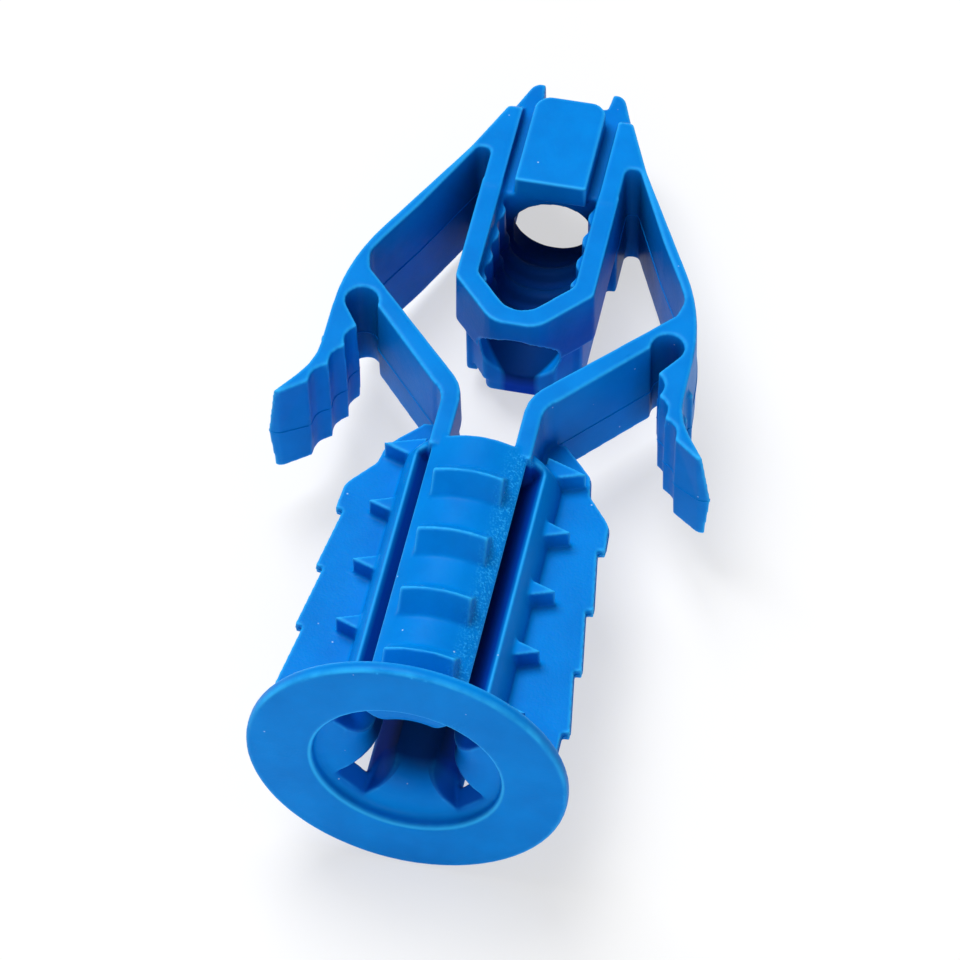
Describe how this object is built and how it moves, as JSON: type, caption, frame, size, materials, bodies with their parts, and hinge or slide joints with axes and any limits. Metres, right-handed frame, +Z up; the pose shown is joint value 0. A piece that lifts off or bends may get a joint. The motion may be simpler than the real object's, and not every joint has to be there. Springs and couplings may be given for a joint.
{
  "type": "plasterboard fixing",
  "caption": "Moulded plastic hollow-wall fixing: flanged, slotted shank with teeth and fins, folding wings on living hinges, and a ridged nut.",
  "frame": {"origin": "centre of the bounding box on the floor, with the fixing lying on the edge of its flange and on its tip", "axes": "+Y along the fixing from the flange to the tip, +X across the wings, +Z up"},
  "size_m": [0.023, 0.0438, 0.0159],
  "materials": {
    "blue_plastic": "satin, finely grained"
  },
  "bodies": {
    "root": {"fixing_body": "blue_plastic"}
  },
  "joints": []
}
